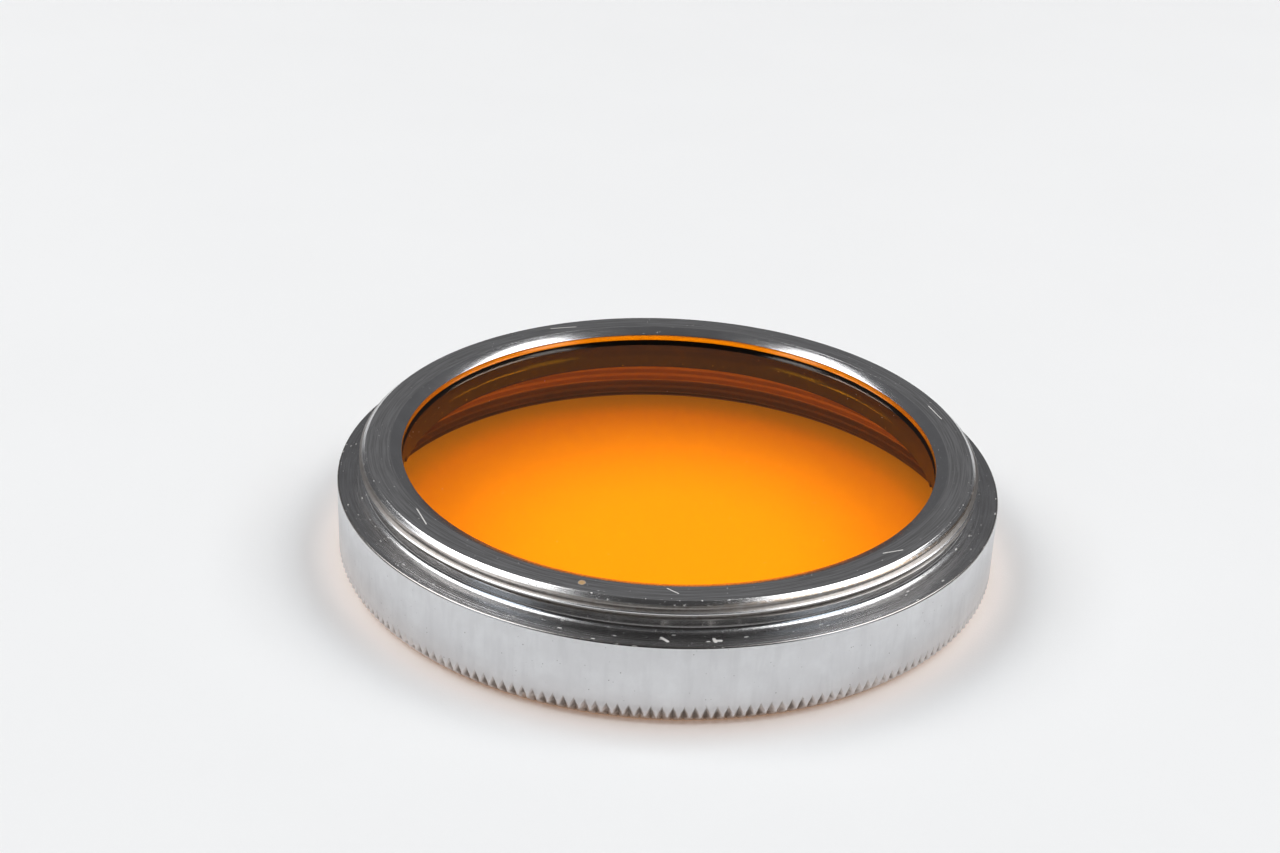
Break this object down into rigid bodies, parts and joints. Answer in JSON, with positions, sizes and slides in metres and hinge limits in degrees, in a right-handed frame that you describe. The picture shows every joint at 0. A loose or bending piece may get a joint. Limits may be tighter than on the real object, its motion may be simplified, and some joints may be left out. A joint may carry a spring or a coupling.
{
  "type": "lens filter",
  "caption": "Round screw-in lens filter: orange glass in a low chromed ring with a milled rim, a short male thread behind and a female thread in front.",
  "frame": {"origin": "centre of the front rim plane, the plane the filter stands on", "axes": "+Z along the filter's axis from the front rim towards the male thread; +X and +Y are any two radial directions, with the spanner slots along X"},
  "size_m": [0.0432, 0.0432, 0.0073],
  "materials": {
    "mount_chrome": "satin chrome plating on turned brass, worn at the edges",
    "orange_glass": "polished orange glass, ground edge",
    "blackened_ring": "matt black lacquer on turned brass"
  },
  "bodies": {
    "mount": {"mount_ring": "mount_chrome"},
    "glass": {"filter_glass": "orange_glass"},
    "retainer": {"retaining_ring": "blackened_ring"}
  },
  "joints": [
    {"name": "glass_release", "type": "slide", "parent": "mount", "child": "glass", "axis": [0, 0, -1], "range_m": [0, 0.001]},
    {"name": "retainer_turn", "type": "hinge", "parent": "glass", "child": "retainer", "pos_m": [0, 0, 0.0041], "axis": [0, 0, -1], "range_deg": [0, 720]}
  ],
  "couplings": [
    {"joint": "glass_release", "follows": "retainer_turn", "m_per_rad": 0.000079577}
  ]
}
